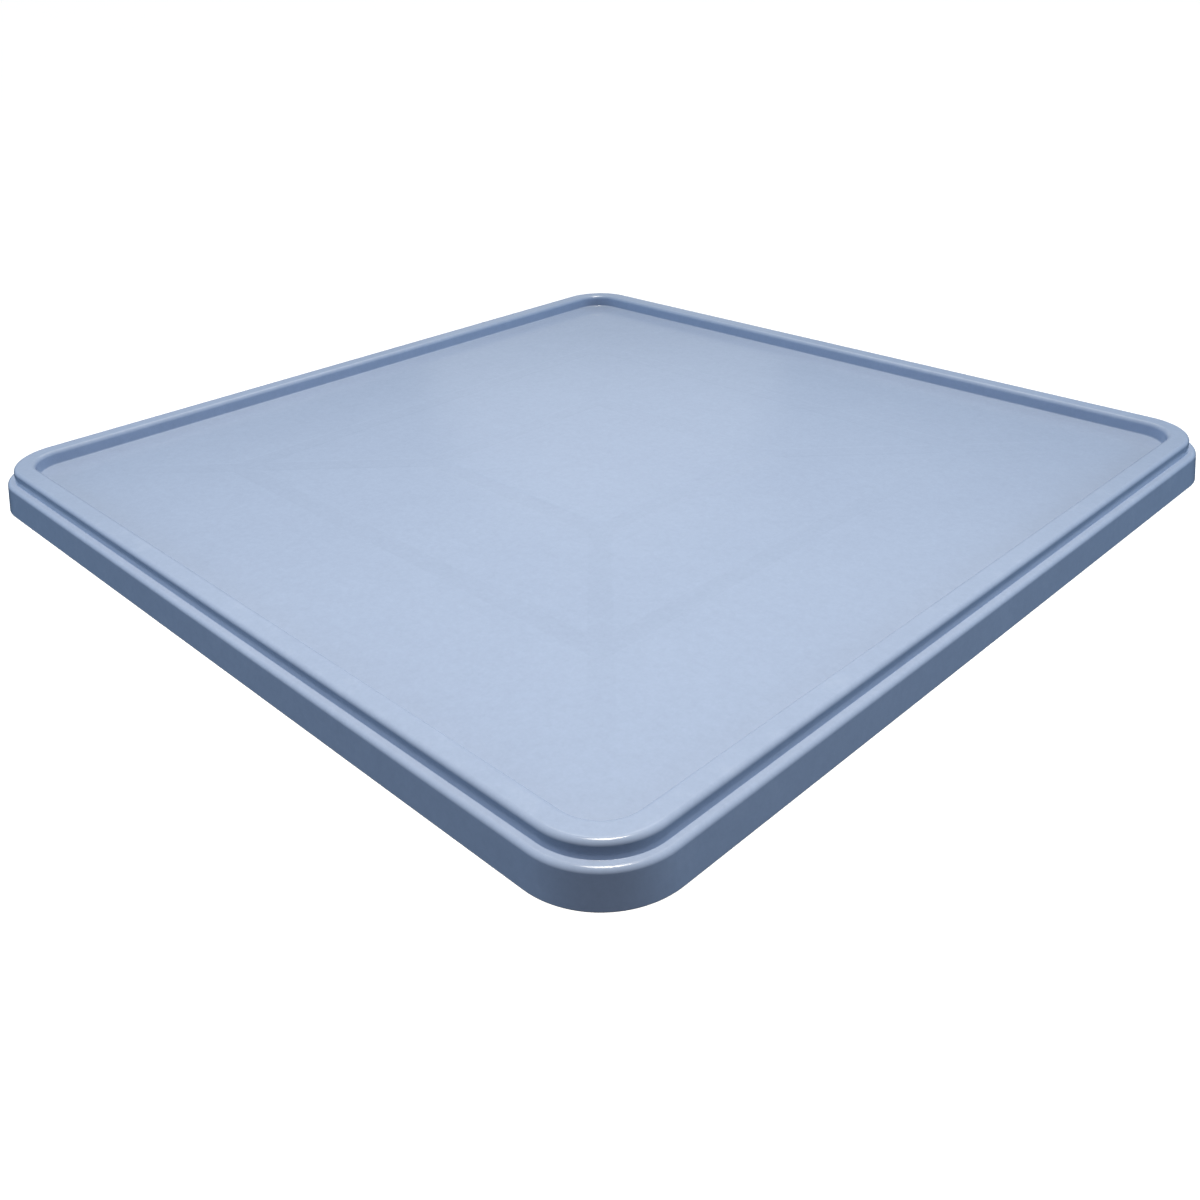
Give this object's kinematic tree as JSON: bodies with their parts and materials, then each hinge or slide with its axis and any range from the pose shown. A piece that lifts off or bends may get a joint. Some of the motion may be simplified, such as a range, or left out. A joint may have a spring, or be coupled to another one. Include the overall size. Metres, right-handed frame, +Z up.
{
  "type": "plastic pallet",
  "caption": "Low square solid-deck plastic pallet: recessed deck panel, raised rim, narrow outer ledge and skirt, with stiffening channels under the deck.",
  "frame": {"origin": "centre of the square footprint, on the floor", "axes": "+Z up; +X and +Y along the sides of the square, front is -Y, right is +X"},
  "size_m": [1.1, 1.1, 0.051],
  "materials": {
    "deck_plastic": "glossy moulded",
    "channel_plastic": "satin moulded"
  },
  "bodies": {
    "root": {"deck_shell": "deck_plastic", "outer_beam_front": "channel_plastic", "outer_beam_right": "channel_plastic", "outer_beam_back": "channel_plastic", "outer_beam_left": "channel_plastic", "inner_beam_front": "channel_plastic", "inner_beam_right": "channel_plastic", "inner_beam_back": "channel_plastic", "inner_beam_left": "channel_plastic", "tie_front_right": "channel_plastic", "tie_back_right": "channel_plastic", "tie_back_left": "channel_plastic", "tie_front_left": "channel_plastic", "strut_front_right": "channel_plastic", "strut_back_right": "channel_plastic", "strut_back_left": "channel_plastic", "strut_front_left": "channel_plastic"}
  },
  "joints": []
}
